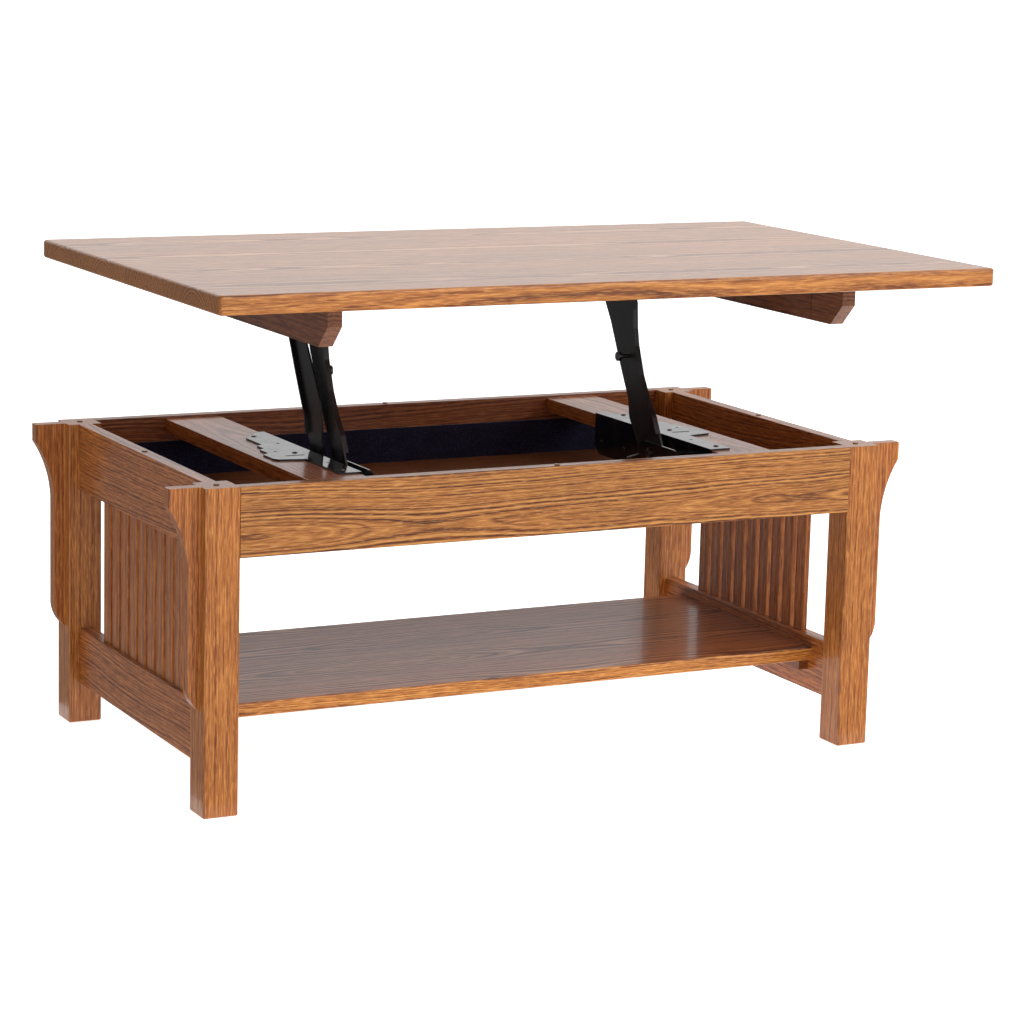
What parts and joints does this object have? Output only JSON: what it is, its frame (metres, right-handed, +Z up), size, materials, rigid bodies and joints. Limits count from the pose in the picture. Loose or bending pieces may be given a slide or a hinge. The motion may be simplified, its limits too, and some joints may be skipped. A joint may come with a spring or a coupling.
{
  "type": "lift top coffee table",
  "caption": "Mission-style oak coffee table with slatted ends, corbelled legs, lower shelf and a storage box under a slab top that lifts up and forward on parallel steel arms.",
  "frame": {"origin": "on the floor, under the middle of the whole object's box with the top raised", "axes": "+Z up, -Y out of the front edge that the top rises towards, +X to the right seen from the front"},
  "size_m": [1.187, 0.7882, 0.7407],
  "materials": {
    "oak": "gloss lacquered oak",
    "inner_oak": "satin stained panel",
    "black_steel": "gloss black paint",
    "fastener_steel": "dark zinc",
    "spring_steel": "oiled spring steel",
    "navy_felt": "felt",
    "bumper": "amber dome"
  },
  "bodies": {
    "frame": {"back_apron": "oak", "back_left_corbel": "oak", "back_left_leg": "oak", "back_right_corbel": "oak", "back_right_leg": "oak", "base_pins": "fastener_steel", "base_screws": "fastener_steel", "box_floor": "inner_oak", "bumpers": "bumper", "felt_liner": "navy_felt", "front_apron": "oak", "front_left_corbel": "oak", "front_left_leg": "oak", "front_right_corbel": "oak", "front_right_leg": "oak", "left_base_bracket": "black_steel", "left_cross_board": "oak", "left_end_apron": "oak", "left_lower_rail": "oak", "left_shelf_cleat": "oak", "left_slat_1": "oak", "left_slat_2": "oak", "left_slat_3": "oak", "left_slat_4": "oak", "left_slat_5": "oak", "left_slat_6": "oak", "left_slat_7": "oak", "left_slat_8": "oak", "left_slat_9": "oak", "left_spring": "spring_steel", "right_base_bracket": "black_steel", "right_cross_board": "oak", "right_end_apron": "oak", "right_lower_rail": "oak", "right_shelf_cleat": "oak", "right_slat_1": "oak", "right_slat_2": "oak", "right_slat_3": "oak", "right_slat_4": "oak", "right_slat_5": "oak", "right_slat_6": "oak", "right_slat_7": "oak", "right_slat_8": "oak", "right_slat_9": "oak", "right_spring": "spring_steel", "shelf": "oak"},
    "left_front_lift_arm": {"left_front_arm": "black_steel", "left_knob_pin": "fastener_steel"},
    "left_rear_lift_arm": {"left_rear_arm": "black_steel"},
    "right_front_lift_arm": {"right_front_arm": "black_steel", "right_knob_pin": "fastener_steel"},
    "right_rear_lift_arm": {"right_rear_arm": "black_steel"},
    "top": {"tabletop": "oak", "left_top_cleat": "oak", "right_top_cleat": "oak", "top_screws": "fastener_steel", "top_pins": "fastener_steel", "left_top_bracket": "black_steel", "right_top_bracket": "black_steel"}
  },
  "joints": [
    {"name": "lift", "type": "hinge", "parent": "frame", "child": "left_front_lift_arm", "pos_m": [-0.2575, -0.02635, 0.432], "axis": [-1, 0, 0], "range_deg": [0, 68.99], "stiffness_Nm_per_rad": 18.8, "springref_deg": -54.43},
    {"name": "left_rear_pivot", "type": "hinge", "parent": "frame", "child": "left_rear_lift_arm", "pos_m": [-0.2662, 0.02165, 0.432], "axis": [-1, 0, 0], "range_deg": [0, 68.99]},
    {"name": "right_front_pivot", "type": "hinge", "parent": "frame", "child": "right_front_lift_arm", "pos_m": [0.2575, -0.02635, 0.432], "axis": [-1, 0, 0], "range_deg": [0, 68.99]},
    {"name": "right_rear_pivot", "type": "hinge", "parent": "frame", "child": "right_rear_lift_arm", "pos_m": [0.2662, 0.02165, 0.432], "axis": [-1, 0, 0], "range_deg": [0, 68.99]},
    {"name": "top_level", "type": "hinge", "parent": "left_front_lift_arm", "child": "top", "pos_m": [-0.2575, 0.08817, 0.66473], "axis": [-1, 0, 0], "range_deg": [-68.99, 0]}
  ],
  "couplings": [
    {"joint": "left_rear_pivot", "follows": "lift", "ratio": 1},
    {"joint": "right_front_pivot", "follows": "lift", "ratio": 1},
    {"joint": "right_rear_pivot", "follows": "lift", "ratio": 1},
    {"joint": "top_level", "follows": "lift", "ratio": -1}
  ]
}
